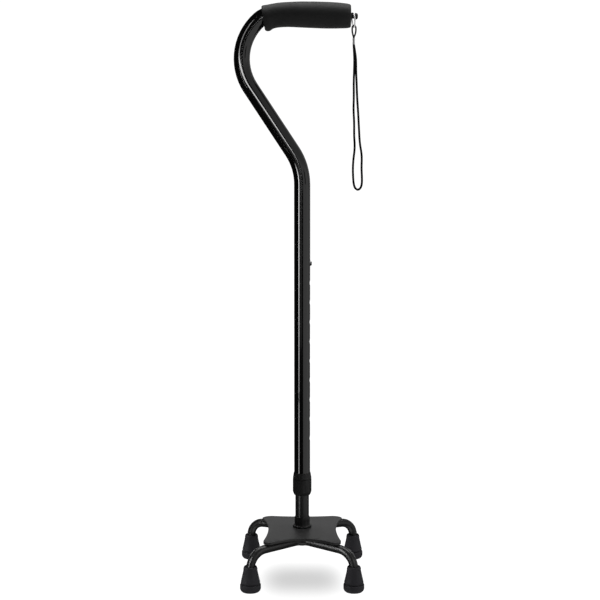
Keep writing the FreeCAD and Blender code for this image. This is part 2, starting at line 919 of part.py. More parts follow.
# A weld bead along each arm, on its side towards the shaft, in the corner between the arm and
# the plate.
beads = []
bead_r = 1.7
bead_length = 18.0
bead_bite = 0.6
for leg in legs.values():
    apex = leg[2]
    for knee in (leg[1], leg[3]):
        arm = knee - apex
        arm.normalize()
        sideways = arm.cross(Vector(0, 0, 1))
        sideways.normalize()
        if sideways.y * apex.y > 0:
            sideways = -sideways
        middle = apex + arm * 36.0
        rise = plate_under(middle.x, middle.y) - bead_bite * bead_r - middle.z
        reach = math.sqrt((leg_r + bead_bite * bead_r) ** 2 - rise**2)
        spot = middle + sideways * reach + Vector(0, 0, rise)
        start = spot - arm * (bead_length / 2)
        bead = Part.makeCylinder(bead_r, bead_length, start, arm)
        bead = bead.fuse(Part.makeSphere(bead_r, start))
        bead = bead.fuse(Part.makeSphere(bead_r, start + arm * bead_length))
        beads.append(bead.removeSplitter().Solids[0])
nodes["leg_welds"] = feature_shape("leg_welds", Part.makeCompound(beads))

# Rubber tips.
# The mouth of each tip flares, because the front tube starts to bend just inside it.
tip_r = size("tip_flange_dia") / 2
tip_bore = size("leg_od") / 2 + fit
mouth_r = tip_bore + size("tip_top_wall")
tip_top = size("tip_height")
tip_band = size("tip_flange")


def rubber_tip(name, x, y):
    body = turned(
        name,
        [
            (0, 1.4),
            (size("tip_sole_dia") / 2 - 5.0, 1.4),
            (size("tip_sole_dia") / 2 - 4.4, 0),
            (size("tip_sole_dia") / 2, 0),
            (tip_r - 0.8, 1.6),
            (tip_r, 3.2),
            (tip_r, tip_band),
            (tip_r - 0.5, tip_band + 0.6),
            (tip_r - 1.3, tip_band + 0.6),
            (tip_r - 1.3, tip_band + 1.5),
            (tip_r - 0.9, tip_band + 1.9),
            (mouth_r + 0.4, tip_top - 4.0),
            (mouth_r + 0.2, tip_top - 1.2),
            (mouth_r - 0.8, tip_top),
            (tip_bore + 0.6, tip_top),
            (tip_bore, tip_top - size("tip_mouth")),
            (tip_bore, size("tip_floor") - 1.3),
            (0, size("tip_floor") - 1.3),
        ],
        (x, y, zero),
    )
    doc.recompute()
    # shallow upright lines in the taper
    before = body.Tip
    low = (tip_r - 0.9, tip_band + 1.9)
    high = (mouth_r + 0.4, tip_top - 4.0)
    groove = new_sketch(body, name + "_panel", "XZ_Plane")
    polygon(
        groove,
        [
            (low[0] * 0.9 + high[0] * 0.1 - 0.35, low[1] * 0.9 + high[1] * 0.1),
            (low[0] * 0.9 + high[0] * 0.1 + 1.0, low[1] * 0.9 + high[1] * 0.1),
            (low[0] * 0.1 + high[0] * 0.9 + 1.0, low[1] * 0.1 + high[1] * 0.9),
            (low[0] * 0.1 + high[0] * 0.9 - 0.35, low[1] * 0.1 + high[1] * 0.9),
        ],
    )
    cut = pocket(body, groove, 0.9, "PanelLine", both=True)
    doc.recompute()
    if removed(before, cut) < 1.0:
        raise RuntimeError("the tip's panel line cuts nothing")
    polar(body, cut, groove, DRIVING["panel_count"], 360.0, "PanelLines", "V_Axis")
    return body


half_base = size("half_base")
for name, x, y in (
    ("tip_front_left", -size("front_half_track"), -half_base),
    ("tip_front_right", size("front_half_track"), -half_base),
    ("tip_rear_left", -size("rear_half_track"), half_base),
    ("tip_rear_right", size("rear_half_track"), half_base),
):
    nodes[name] = rubber_tip(name, x, y)

discs = []
for points in legs.values():
    for foot_point in (points[0], points[-1]):
        disc = doc.addObject("Part::Cylinder", "tip_washer")
        disc.setExpression("Radius", (size("leg_od") / 2 - 0.2).formula)
        disc.setExpression("Height", as_size(1.2).formula)
        disc.Placement = Placement(foot_point - Vector(0, 0, 1.25), Rotation())
        discs.append(disc)
washers = doc.addObject("Part::Compound", "tip_washers")
washers.Label = "tip_washers"
washers.Links = discs
nodes["tip_washers"] = washers

# Wrist strap.
# The ring hangs on the neck of the plug, nearly edge-on to the front.
doc.recompute()
plug_place = nodes["grip_end_plug"].Placement
neck_middle = plug_place.multVec(Vector(0, 0, (boss_top + neck_top).value / 2))
ring_r = number("ring_dia") / 2
wire_r = number("ring_wire") / 2
hang = ring_r - wire_r - number("neck_dia") / 2 - number("soft_fit")
ring_tilt = 4.5
ring_yaw = 9.0
ring_turn = Rotation(Vector(0, 0, 1), ring_yaw).multiply(Rotation(Vector(0, 1, 0), 90 - ring_tilt))
ring_centre = neck_middle - Vector(-hang * math.sin(math.radians(ring_tilt)), 0, hang)
ring = doc.addObject("Part::Torus", "strap_ring")
ring.Label = "strap_ring"
ring.setExpression("Radius1", "Sizes.ring_dia / 2")
ring.setExpression("Radius2", "Sizes.ring_wire / 2")
ring.Placement = Placement(ring_centre, ring_turn)
nodes["strap_ring"] = ring


def cord_wire(name, points):
    # Tangent arcs as large as their two runs allow. Prints the arcs' radii.
    radii = []
    for i in range(1, len(points) - 1):
        back_way = points[i - 1] - points[i]
        fore_way = points[i + 1] - points[i]
        half_turn = (math.pi - back_way.getAngle(fore_way)) / 2
        shorter = min(back_way.Length, fore_way.Length)
        radii.append(0.45 * shorter / math.tan(half_turn))
    print(name, "arc radii", [round(r, 1) for r in radii])
    return rounded_wire(points, radii)


def cord_tube(name, points, diameter):
    wire = cord_wire(name, points)
    tube = swept(wire, diameter / 2)
    ideal = math.pi * diameter**2 / 4 * wire.Length
    print(name, "length", round(wire.Length, 1), "volume ratio", round(tube.Volume / ideal, 4))
    return feature_shape(name, tube)


# The small loop goes up through the ring, over its wire and back down; its two ends lie one
# behind the other in the crimp.
LOOP_ROUTE = [
    (65.3, -1.3, 696.0),
    (65.3, -1.3, 699.2),
    (64.0, -0.8, 702.9),
    (63.3, 0.0, 707.0),
    (63.35, 0.2, 710.9),
    (64.7, 0.25, 712.3),
    (66.65, 0.3, 712.3),
    (68.05, 0.35, 710.9),
    (68.0, 0.5, 707.0),
    (67.2, 0.9, 702.9),
    (65.4, 1.3, 699.2),
    (65.4, 1.3, 696.0),
]
STRAP_ROUTE = [
    (65.3, -1.5, 688.1),
    (65.3, -1.5, 675.5),
    (65.9, -1.2, 658.0),
    (65.4, -0.5, 640.0),
    (65.8, 0.0, 622.0),
    (65.3, 0.1, 606.0),
    (66.4, 0.0, 589.0),
    (66.2, -0.1, 573.0),
    (67.4, 0.0, 558.0),
    (65.3, 0.1, 542.0),
    (64.8, 0.0, 530.0),
    (65.2, 0.0, 519.5),
    (65.9, 0.0, 511.5),
    (67.6, 0.0, 506.2),
    (71.3, 0.0, 503.6),
    (75.0, 0.0, 506.4),
    (76.5, 0.0, 511.8),
    (76.5, 0.0, 520.0),
    (75.8, 0.1, 532.0),
    (76.4, 0.0, 548.0),
    (73.4, 0.0, 564.0),
    (72.4, -0.1, 583.0),
    (71.3, 0.0, 603.0),
    (69.9, 0.0, 622.0),
    (69.5, 0.4, 641.0),
    (68.0, 1.1, 659.0),
    (65.7, 1.5, 675.5),
    (65.7, 1.5, 688.1),
]
nodes["strap_small_loop"] = cord_tube(
    "strap_small_loop", [Vector(*p) for p in LOOP_ROUTE], number("loop_cord_dia")
)
nodes["strap_loop"] = cord_tube("strap_loop", [Vector(*p) for p in STRAP_ROUTE], number("cord_dia"))

# The crimp: an upright oval sleeve, pinched a little at its middle.
crimp_top = LOOP_ROUTE[0][2]
body = new_body("strap_ferrule", (65.45, 0.0, crimp_top - size("crimp_height")))
half_wide = size("cord_dia") / 2 + 0.2
half_deep = size("cord_dia") / 2 + 1.5
outline = new_sketch(body, "crimp_outline", "XY_Plane")
flat_top = half_deep - half_wide
path(
    outline,
    [
        ((half_wide, -flat_top), (half_wide, flat_top)),
        ((half_wide, flat_top), (zero, half_deep), (zero, flat_top), half_wide),
        ((zero, half_deep), (-half_wide, flat_top), (zero, flat_top), half_wide),
        ((-half_wide, flat_top), (-half_wide, -flat_top)),
        ((-half_wide, -flat_top), (zero, -half_deep), (zero, -flat_top), half_wide),
        ((zero, -half_deep), (half_wide, -flat_top), (zero, -flat_top), half_wide),
    ],
)
pad(body, outline, size("crimp_height"))
doc.recompute()
nodes["strap_ferrule"] = body

# Check and write.

doc.recompute()
broken = [o.Name for o in doc.Objects if "Invalid" in o.State or "Error" in o.State]
if broken:
    raise RuntimeError(f"objects that did not build: {broken}")
for name, piece in nodes.items():
    shape = piece.Shape
    if shape.isNull() or not shape.isValid() or not shape.Solids:
        raise RuntimeError(f"{name} is not a valid solid")
os.makedirs("parts", exist_ok=True)
for name, piece in nodes.items():
    piece.Shape.exportStep(f"parts/{name}.step")
    box = piece.Shape.BoundBox
    print(
        f"{name:18s} {len(piece.Shape.Solids):2d} solids {piece.Shape.Volume:9.1f} mm3"
        f"  x {box.XMin:7.1f} {box.XMax:7.1f}  y {box.YMin:6.1f} {box.YMax:6.1f}"
        f"  z {box.ZMin:6.1f} {box.ZMax:6.1f}"
    )
print(len(nodes), "nodes")
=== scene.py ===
import json
import math

import bpy
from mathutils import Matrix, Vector

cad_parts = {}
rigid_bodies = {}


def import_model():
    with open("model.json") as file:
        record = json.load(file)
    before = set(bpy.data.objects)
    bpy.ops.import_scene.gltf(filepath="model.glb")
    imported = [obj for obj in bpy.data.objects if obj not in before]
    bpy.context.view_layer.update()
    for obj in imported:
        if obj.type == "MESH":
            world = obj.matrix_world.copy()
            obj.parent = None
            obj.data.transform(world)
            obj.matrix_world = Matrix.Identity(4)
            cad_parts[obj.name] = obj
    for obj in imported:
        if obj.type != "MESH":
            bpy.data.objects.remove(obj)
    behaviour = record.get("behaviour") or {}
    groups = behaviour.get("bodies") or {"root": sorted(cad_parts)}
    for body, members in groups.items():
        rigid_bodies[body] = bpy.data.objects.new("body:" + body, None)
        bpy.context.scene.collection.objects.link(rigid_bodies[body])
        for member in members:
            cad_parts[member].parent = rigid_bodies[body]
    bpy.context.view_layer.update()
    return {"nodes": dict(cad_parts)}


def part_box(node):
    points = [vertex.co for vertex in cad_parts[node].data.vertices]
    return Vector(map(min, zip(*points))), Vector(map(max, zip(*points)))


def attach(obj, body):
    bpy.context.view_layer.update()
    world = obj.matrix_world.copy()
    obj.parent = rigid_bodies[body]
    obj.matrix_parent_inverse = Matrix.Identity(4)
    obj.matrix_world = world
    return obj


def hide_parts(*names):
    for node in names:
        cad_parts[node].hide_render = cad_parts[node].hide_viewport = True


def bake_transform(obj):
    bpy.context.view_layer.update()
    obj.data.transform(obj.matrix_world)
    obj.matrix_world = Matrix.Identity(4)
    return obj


# Adjustable quad walking cane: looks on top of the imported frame. Metres, +Z up, floor at 0.
# In the pieces' dictionaries rings, profiles, edges and depths are in millimetres. Places, routes, sizes of
# lamps and the cords' diameters are in metres, and angles are in degrees.

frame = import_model()
nodes = frame["nodes"]
scene = bpy.context.scene
mm = 0.001
print("frame loaded:", len(nodes), "nodes")

view = {
    "place": (0.0, -1.752, 0.581),
    "pitch": 5.2,      # below the horizon
    "lens": 82.08,
    "sensor": 36,
    "shift": (-0.0036, -0.0767),
}
eye = bpy.data.cameras.new("eye")
eye.lens = view["lens"]
eye.sensor_width = view["sensor"]
eye.shift_x, eye.shift_y = view["shift"]
eyeObject = bpy.data.objects.new("eye", eye)
eyeObject.location = view["place"]
eyeObject.rotation_euler = (math.radians(90 - view["pitch"]), 0, 0)
scene.collection.objects.link(eyeObject)
scene.camera = eyeObject
scene.view_settings.view_transform = "Standard"


class Signal:
    # a socket that adds, subtracts and scales like a number
    def __init__(self, maker, socket):
        self.maker = maker
        self.socket = socket

    def maths(self, operation, *others):
        return self.maker.add("ShaderNodeMath", {"operation": operation}, [self, *others])

    def __add__(self, other):
        return self.maths("ADD", other)

    def __sub__(self, other):
        return self.maths("SUBTRACT", other)

    def __mul__(self, other):
        return self.maths("MULTIPLY", other)

    def __rsub__(self, other):
        return self.maker.add("ShaderNodeMath", {"operation": "SUBTRACT"}, [other, self])

    __radd__ = __add__

    def sine(self):
        return self.maths("SINE")

    def root(self):
        return self.maths("SQRT")

    def above(self, low, high):
        # 0 below low, 1 above high, smooth between
        settings = {"interpolation_type": "SMOOTHSTEP"}
        inputs = {"Value": self, "From Min": low, "From Max": high}
        return self.maker.add("ShaderNodeMapRange", settings, inputs)


class Finish:
    # one material under construction
    def __init__(self, name, **fixed):
        self.material = bpy.data.materials.new(name)
        self.material.use_nodes = True
        self.tree = self.material.node_tree
        self.tree.nodes.clear()
        self.shader = self.tree.nodes.new("ShaderNodeBsdfPrincipled")
        output = self.tree.nodes.new("ShaderNodeOutputMaterial")
        self.tree.links.new(self.shader.outputs[0], output.inputs["Surface"])
        for key, value in fixed.items():
            self.shader.inputs[key.replace("_", " ").title().replace("Ior", "IOR")].default_value = value
        self.place = self.add("ShaderNodeTexCoord", {}, {}, "Object")

    def add(self, kind, settings, inputs, out=0):
        node = self.tree.nodes.new(kind)
        for key, value in settings.items():
            setattr(node, key, value)
        pairs = inputs.items() if isinstance(inputs, dict) else enumerate(inputs)
        for key, value in pairs:
            if isinstance(value, Signal):
                self.tree.links.new(value.socket, node.inputs[key])
            else:
                node.inputs[key].default_value = value
        return Signal(self, node.outputs[out])

    def drive(self, **inputs):
        # what varies over the surface
        for key, value in inputs.items():
            self.tree.links.new(value.socket, self.shader.inputs[key.replace("_", " ").title()])

    def axes(self):
        split = self.add("ShaderNodeSeparateXYZ", {}, [self.place]).socket.node
        return [Signal(self, socket) for socket in split.outputs]

    def noise(self, scale, detail=2.0, stretch=(1, 1, 1)):
        place = self.place
        if stretch != (1, 1, 1):
            place = self.add("ShaderNodeMapping", {}, {"Vector": place, "Scale": stretch})
        return self.add("ShaderNodeTexNoise", {}, {"Vector": place, "Scale": scale, "Detail": detail})

    def cells(self, scale):
        return self.add("ShaderNodeTexVoronoi", {"feature": "F1"}, {"Vector": self.place, "Scale": scale})

    def tint(self, factor, dark, light):
        # sockets 0, 6 and 7 in and 2 out are the mix node's factor and colours
        inputs = {0: factor, 6: (*dark, 1), 7: (*light, 1)}
        return self.add("ShaderNodeMix", {"data_type": "RGBA"}, inputs, 2)

    def bump(self, height, distance, strength):
        inputs = {"Height": height, "Distance": distance, "Strength": strength}
        self.drive(normal=self.add("ShaderNodeBump", {}, inputs))


def grey(tone):
    return tone, tone, tone


def glossEnamel():
    # stoved black enamel over drawn tube: a hard clear shine with a very slight waviness
    f = Finish("glossEnamel", specular_ior_level=0.5, coat_weight=0.8, coat_roughness=0.03)
    cloud = f.noise(14.0, detail=3.0)
    dust = f.noise(2600.0).above(0.66, 0.8)
    f.drive(base_color=f.tint(dust * 0.5 + cloud * 0.3, grey(0.0005), grey(0.0022)))
    f.drive(roughness=0.1 + cloud.above(0.3, 0.8) * 0.05)
    f.bump(f.noise(70.0, stretch=(1, 1, 0.2)), distance=0.00002, strength=0.12)
    return f.material


def anodisedBlack():
    # black anodised tube: drawn grain along its length and rub marks round it
    f = Finish("anodisedBlack", specular_ior_level=0.5)
    grain = f.noise(420.0, detail=3.0, stretch=(1, 1, 0.02))
    rubs = f.noise(40.0, detail=3.0, stretch=(1, 1, 9)).above(0.55, 0.75)
    f.drive(base_color=f.tint(grain, grey(0.006), grey(0.013)))
    f.drive(roughness=0.27 + grain * 0.08 + rubs * 0.06)
    f.bump(grain, distance=0.00002, strength=0.3)
    return f.material


def powderCoat(name, dark, light, rough):
    # satin powder coat with its fine orange peel
    f = Finish(name, specular_ior_level=0.5)
    peel = f.noise(1100.0)
    cloud = f.noise(30.0, detail=4.0)
    f.drive(base_color=f.tint(cloud, grey(dark), grey(light)))
    f.drive(roughness=rough + cloud * 0.1)
    f.bump(peel, distance=0.00005, strength=0.35)
    return f.material


def mouldedPlastic():
    # spark-eroded matt nylon
    f = Finish("mouldedPlastic", specular_ior_level=0.4)
    spark = f.cells(3200.0)
    cloud = f.noise(90.0, detail=3.0)
    f.drive(base_color=f.tint(cloud, grey(0.007), grey(0.013)))
    f.drive(roughness=0.42 + cloud * 0.14)
    f.bump(spark + cloud * 0.4, distance=0.00004, strength=0.4)
    return f.material


def tipRubber():
    # matt rubber, a little bloomed, scuffed grey near the floor
    f = Finish("tipRubber", specular_ior_level=0.35)
    cloud = f.noise(70.0, detail=4.0)
    grain = f.noise(2600.0, detail=3.0)
    height = f.axes()[2]
    scuff = (1 - height.above(0.0005, 0.004)) * cloud.above(0.4, 0.7)
    f.drive(base_color=f.tint(cloud * 0.6 + scuff, (0.015, 0.0145, 0.018), (0.031, 0.03, 0.035)))
    f.drive(roughness=0.56 + cloud * 0.16)
    f.bump(grain + cloud, distance=0.00008, strength=0.45)
    return f.material


def gripFoam():
    # closed-cell foam: fine pores, soft dents, a dull skin
    f = Finish("gripFoam", specular_ior_level=0.45, sheen_weight=0.06, sheen_roughness=0.45)
    pores = f.cells(1500.0)
    fine = f.noise(3000.0)
    cloud = f.noise(55.0, detail=4.0)
    f.drive(base_color=f.tint(cloud * 0.7 + fine * 0.3, grey(0.005), grey(0.011)))
    f.drive(roughness=0.6 + fine * 0.12 + cloud * 0.1)
    f.bump(pores * 0.5 + fine * 0.3 + cloud * 1.6, distance=0.00016, strength=0.5)
    return f.material


def cordBraid():
    # round braid: two sets of strands that cross at a slant
    f = Finish("cordBraid", specular_ior_level=0.2)
    x, y, z = f.axes()
    around = (x + y * 0.8) * 3900.0
    along = z * 2700.0
    strands = (around + along).sine() * (around - along).sine()
    fuzz = f.noise(2500.0, detail=3.0)
    f.drive(base_color=f.tint(strands * 0.35 + fuzz * 0.5, grey(0.0012), grey(0.007)))
    f.drive(roughness=0.7 + fuzz * 0.25)
    f.bump(strands + fuzz * 0.5, distance=0.00015, strength=0.7)
    return f.material


def plainMetal(name, tone, rough, metallic=1.0):
    # bare or plated metal, slightly clouded
    f = Finish(name, metallic=metallic)
    cloud = f.noise(160.0, detail=4.0)
    f.drive(base_color=f.tint(cloud, tuple(t * 0.88 for t in tone), tone))
    f.drive(roughness=rough + cloud * 0.1)
    f.bump(f.noise(900.0, detail=3.0), distance=0.00003, strength=0.35)
    return f.material


enamel = glossEnamel()
anodised = anodisedBlack()
plateCoat = powderCoat("plateCoat", dark=0.02, light=0.028, rough=0.4)
legCoat = powderCoat("legCoat", dark=0.004, light=0.007, rough=0.3)
plastic = mouldedPlastic()
rubber = tipRubber()
foam = gripFoam()
braid = cordBraid()
# The ring's near-white, mostly diffuse tone is partly its plated metal and partly painted reflection of the
# pale surround.
brightWireAndPaintedReflection = plainMetal("brightWireAndPaintedReflection", (0.95, 0.95, 0.955), rough=0.3, metallic=0.35)
crimpAlloy = plainMetal("crimpAlloy", (0.7, 0.7, 0.71), rough=0.38, metallic=0.6)
zinc = plainMetal("zincPlate", (0.55, 0.56, 0.58), rough=0.3)
steel = plainMetal("springSteel", (0.42, 0.42, 0.43), rough=0.28)

nodeFinishes = {
    "upper_tube": enamel,
    "lower_tube": anodised,
    "foam_grip": foam,
    "grip_end_plug": plastic,
    "lock_bushing": plastic,
    "lock_collar": plastic,
    "guide_bushing": plastic,
    "nut_cover": plastic,
    "base_socket": plastic,
    "base_plate": plateCoat,
    "front_leg_tube": legCoat,
    "rear_leg_tube": legCoat,
    "leg_welds": legCoat,
    "tip_front_left": rubber,
    "tip_front_right": rubber,
    "tip_rear_left": rubber,
    "tip_rear_right": rubber,
    "tip_washers": zinc,
    "stem_insert": zinc,
    "stem_stud": zinc,
    "stem_washer": zinc,
    "stem_nut": zinc,
    "snap_button": steel,
    "spring_clip": steel,
    "strap_ring": brightWireAndPaintedReflection,
    "strap_ferrule": crimpAlloy,
    "strap_small_loop": braid,
    "strap_loop": braid,
}
for name, node in nodes.items():
    node.data.materials.clear()
    node.data.materials.append(nodeFinishes[name])
print("finishes made")

# Wrist strap: two cords, each on one smooth line.
strapCord = {
    "diameter": 0.0028,
    "route": [
        (0.0653, -0.0015, 0.6881),
        (0.0656, -0.0014, 0.6820),
        (0.0663, -0.0011, 0.6700),
        (0.0660, -0.0008, 0.6550),
        (0.0655, -0.0003, 0.6400),
        (0.0658, 0.0000, 0.6220),
        (0.0653, 0.0001, 0.6060),
        (0.0664, 0.0000, 0.5890),
        (0.0662, -0.0001, 0.5730),
        (0.0674, 0.0000, 0.5580),
        (0.0653, 0.0001, 0.5420),
        (0.0648, 0.0000, 0.5300),
        (0.0652, 0.0000, 0.5195),
        (0.0659, 0.0000, 0.5115),
        (0.0676, 0.0000, 0.5062),
        (0.0713, 0.0000, 0.5036),
        (0.0750, 0.0000, 0.5064),
        (0.0765, 0.0000, 0.5118),
        (0.0765, 0.0000, 0.5200),
        (0.0758, 0.0001, 0.5320),
        (0.0764, 0.0000, 0.5480),
        (0.0734, 0.0000, 0.5640),
        (0.0724, -0.0001, 0.5830),
        (0.0713, 0.0000, 0.6030),
        (0.0699, 0.0000, 0.6220),
        (0.0692, 0.0003, 0.6410),
        (0.0685, 0.0008, 0.6560),
        (0.0685, 0.0011, 0.6700),
        (0.0667, 0.0014, 0.6820),
        (0.0657, 0.0015, 0.6881),
    ],
}
smallLoopCord = {
    "diameter": 0.0021,
    "route": [
        (0.0653, -0.0013, 0.6960),
        (0.0650, -0.0012, 0.6982),
        (0.0642, -0.0008, 0.7006),
        (0.0635, -0.0002, 0.7040),
        (0.0633, 0.0002, 0.7100),
        (0.0647, 0.00025, 0.7123),
        (0.06665, 0.0003, 0.7123),
        (0.06825, 0.00035, 0.7100),
        (0.0680, 0.0006, 0.7040),
        (0.0671, 0.0010, 0.7006),
        (0.0658, 0.0012, 0.6982),
        (0.0654, 0.0013, 0.6960),
    ],
}


def smoothLine(name, places, radius, roundness):
    # a round line drawn smoothly near its places, from the first to the last
    line = bpy.data.curves.new(name, "CURVE")
    line.dimensions = "3D"
    line.bevel_depth = radius
    line.bevel_resolution = roundness
    spline = line.splines.new("NURBS")
    spline.points.add(len(places) - 1)
    for point, place in zip(spline.points, places):
        point.co = (*place, 1)
    spline.order_u = 3
    spline.use_endpoint_u = True
    piece = bpy.data.objects.new(name, line)
    scene.collection.objects.link(piece)
    return piece


def cordCurve(name, cord):
    piece = smoothLine(name, cord["route"], cord["diameter"] / 2, roundness=5)
    piece.data.use_fill_caps = True
    piece.data.splines[0].resolution_u = 10
    piece.data.materials.append(braid)
    return piece


strap = cordCurve("strapCordLoop", strapCord)
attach(strap, "strap")
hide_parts("strap_loop")
smallLoop = cordCurve("ringCordLoop", smallLoopCord)
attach(smallLoop, "strap")
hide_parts("strap_small_loop")
print("cords laid")


def alone(piece):
    # only this object selected and active
    bpy.ops.object.select_all(action="DESELECT")
    piece.select_set(True)
    bpy.context.view_layer.objects.active = piece


def ring(radius, sides, place, turn=(0, 0, 0)):
    # a first ring of edges, left in edit mode with its edges selected
    bpy.ops.object.select_all(action="DESELECT")
    bpy.ops.mesh.primitive_circle_add(vertices=sides, radius=radius, location=place, rotation=turn)
    bpy.ops.object.transform_apply(location=True, rotation=True, scale=True)
    bpy.ops.object.mode_set(mode="EDIT")
    bpy.ops.mesh.select_mode(type="VERT")
    bpy.ops.mesh.select_all(action="SELECT")
    return bpy.context.object


def closeUp():
    # doubles merged, faces outwards, back to object mode
    bpy.ops.mesh.select_all(action="SELECT")
    bpy.ops.mesh.remove_doubles(threshold=0.00003)
    bpy.ops.mesh.normals_make_consistent(inside=False)
    bpy.ops.object.mode_set(mode="OBJECT")


def lathe(name, profile, sides):
    # (radius, height) corners turned about Z; a radius of 0 ends in a pole
    small = 0.01
    radius, height = profile[0]
    radius = max(radius, small)
    piece = ring(radius * mm, sides, (0, 0, height * mm))
    piece.name = name
    for nextRadius, nextHeight in profile[1:]:
        nextRadius = max(nextRadius, small)
        rise = {"value": (0, 0, (nextHeight - height) * mm)}
        bpy.ops.mesh.extrude_region_move(TRANSFORM_OT_translate=rise)
        grow = nextRadius / radius
        bpy.ops.transform.resize(value=(grow, grow, 1), center_override=(0, 0, nextHeight * mm))
        radius, height = nextRadius, nextHeight
    closeUp()
    return piece


def pick(piece, test):
    # in edit mode, the faces whose centre and normal pass the test
    alone(piece)
    bpy.ops.object.mode_set(mode="EDIT")
    bpy.ops.mesh.select_mode(type="FACE")
    bpy.ops.mesh.select_all(action="DESELECT")
    bpy.ops.object.mode_set(mode="OBJECT")
    for face in piece.data.polygons:
        face.select = test(face.center / mm, face.normal)
    bpy.ops.object.mode_set(mode="EDIT")


def sink(piece, test, edge, depth):
    # insets the picked faces as one patch and pushes it in
    pick(piece, test)
    bpy.ops.mesh.inset(thickness=edge * mm, depth=-depth * mm)
    bpy.ops.object.mode_set(mode="OBJECT")


def sinkRound(piece, row):
    # one sunk patch in each of the row's equal sectors round Z, from the faces near the sector's middle that
    # lie between the row's heights and radii and whose normal's upward part is in its range
    lowest, highest = row["heights"]
    inner, outer = row["radii"]
    least, most = row["upward"]
    for turn in range(row["count"]):
        middle = 360 / row["count"] * (turn + 0.5)
        sink(
            piece,
            lambda place, normal: lowest < place.z < highest and least < normal.z < most
            and inner < math.hypot(place.x, place.y) < outer
            and abs(math.degrees(math.atan2(place.y, place.x)) % 360 - middle) < row["halfAngle"],
            row["edge"], row["depth"],
        )


def soften(piece, width, angle=28, segments=2):
    # breaks the edges that turn by more than the angle
    alone(piece)
    edge = piece.modifiers.new("softEdges", "BEVEL")
    edge.width = width * mm
    edge.segments = segments
    edge.limit_method = "ANGLE"
    edge.angle_limit = math.radians(angle)
    bpy.ops.object.modifier_apply(modifier="softEdges")


def settle(piece, finish, place=(0, 0, 0), turn=(0, 0, 0), smooth=34):
    # its place goes into the mesh, and its finish on it
    alone(piece)
    piece.location = place
    piece.rotation_euler = turn
    bpy.ops.object.transform_apply(location=True, rotation=True, scale=True)
    bpy.ops.object.shade_smooth_by_angle(angle=math.radians(smooth))
    piece.data.materials.clear()
    piece.data.materials.append(finish)


def formedCopy(name, node):
    # the node's own shape as one joined surface, for a sheet piece whose cut edges get broken
    piece = bpy.data.objects.new(name, nodes[node].data.copy())
    scene.collection.objects.link(piece)
    alone(piece)
    bpy.ops.object.mode_set(mode="EDIT")
    bpy.ops.mesh.select_all(action="SELECT")
    bpy.ops.mesh.remove_doubles(threshold=0.00002)
    bpy.ops.mesh.dissolve_limited(angle_limit=math.radians(0.3))
    bpy.ops.object.mode_set(mode="OBJECT")
    return piece


def mount(piece, body, node):
    # a rigid piece on its body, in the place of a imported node
    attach(piece, body)
    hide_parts(node)


# Foam grip: a sleeve from the plug to the tube's bend, bowed a little, with a swollen lip at the bend.
grip = {
    "sides": 72,
    # x, middle's height, half height, half depth, lean of the ring in degrees
    "rings": [
        (61.2, 724.05, 10.9, 10.9, 0),
        (61.8, 724.05, 12.4, 12.4, 0),
        (61.7, 724.05, 13.6, 13.6, 0),
        (60.9, 724.05, 14.5, 14.5, 0),
        (59.0, 724.1, 15.1, 15.1, 0),
        (56.0, 724.2, 15.6, 15.6, 0),
        (48.5, 724.5, 16.2, 16.2, 0),
        (38.4, 724.85, 16.6, 16.6, 0),
        (28.3, 725.1, 16.8, 16.8, 0),
        (18.2, 725.45, 16.75, 16.75, 0),
        (8.0, 725.7, 16.55, 16.55, 0),
        (0.0, 725.9, 16.4, 16.4, 0),
        (-8.4, 726.1, 16.1, 16.1, 0),
        (-16.0, 726.05, 15.8, 15.8, 0),
        (-23.6, 725.8, 15.6, 15.65, 0),
        (-31.2, 725.0, 15.6, 15.6, 0),
        (-35.5, 724.3, 15.6, 15.6, 1),
        (-38.3, 723.5, 16.0, 15.7, 2),
        (-41.2, 722.1, 16.6, 15.9, 4),
        (-44.0, 721.5, 16.65, 16.0, 6),
        (-46.6, 721.3, 16.5, 15.9, 8),
        (-48.2, 721.3, 16.1, 15.6, 9),
        (-49.2, 721.25, 15.3, 15.0, 9),
        (-49.7, 721.1, 14.0, 13.9, 9),
        (-49.5, 722.5, 11.2, 10.55, 9),
        (-47.5, 723.6, 11.1, 10.5, 7),
        (-44.0, 724.85, 10.95, 10.5, 4),
        (-38.0, 725.8, 10.5, 10.5, 0),
        (-30.0, 725.65, 10.5, 10.5, 0),
        (15.0, 724.8, 10.5, 10.5, 0),
        (61.2, 723.95, 10.55, 10.55, 0),
        (61.2, 724.05, 10.9, 10.9, 0),
    ],
    "smoothing": 2,
    "dentDepth": 0.35,
    "dentSize": 17.0,
}
x, z, tall, deep, lean = grip["rings"][0]
sleeve = ring(tall * mm, grip["sides"], (x * mm, 0, z * mm), (0, math.radians(90), 0))
sleeve.name = "foamSleeve"
for nextX, nextZ, nextTall, nextDeep, nextLean in grip["rings"][1:]:
    move = {"value": ((nextX - x) * mm, 0, (nextZ - z) * mm)}
    middle = (nextX * mm, 0, nextZ * mm)
    bpy.ops.mesh.extrude_region_move(TRANSFORM_OT_translate=move)
    bpy.ops.transform.rotate(value=math.radians(-lean), orient_axis="Y", center_override=middle)
    bpy.ops.transform.resize(value=(1, nextDeep / deep, nextTall / tall), center_override=middle)
    bpy.ops.transform.rotate(value=math.radians(nextLean), orient_axis="Y", center_override=middle)
    x, z, tall, deep, lean = nextX, nextZ, nextTall, nextDeep, nextLean
closeUp()
alone(sleeve)
finer = sleeve.modifiers.new("finer", "SUBSURF")
finer.levels = finer.render_levels = grip["smoothing"]
bpy.ops.object.modifier_apply(modifier="finer")
dents = bpy.data.textures.new("dents", "CLOUDS")
dents.noise_scale = grip["dentSize"] * mm
press = sleeve.modifiers.new("press", "DISPLACE")
press.texture = dents
press.mid_level = 0.5
press.strength = grip["dentDepth"] * mm
bpy.ops.object.modifier_apply(modifier="press")
settle(sleeve, foam, smooth=60)
mount(sleeve, "upper", "foam_grip")
print("foam sleeve formed")

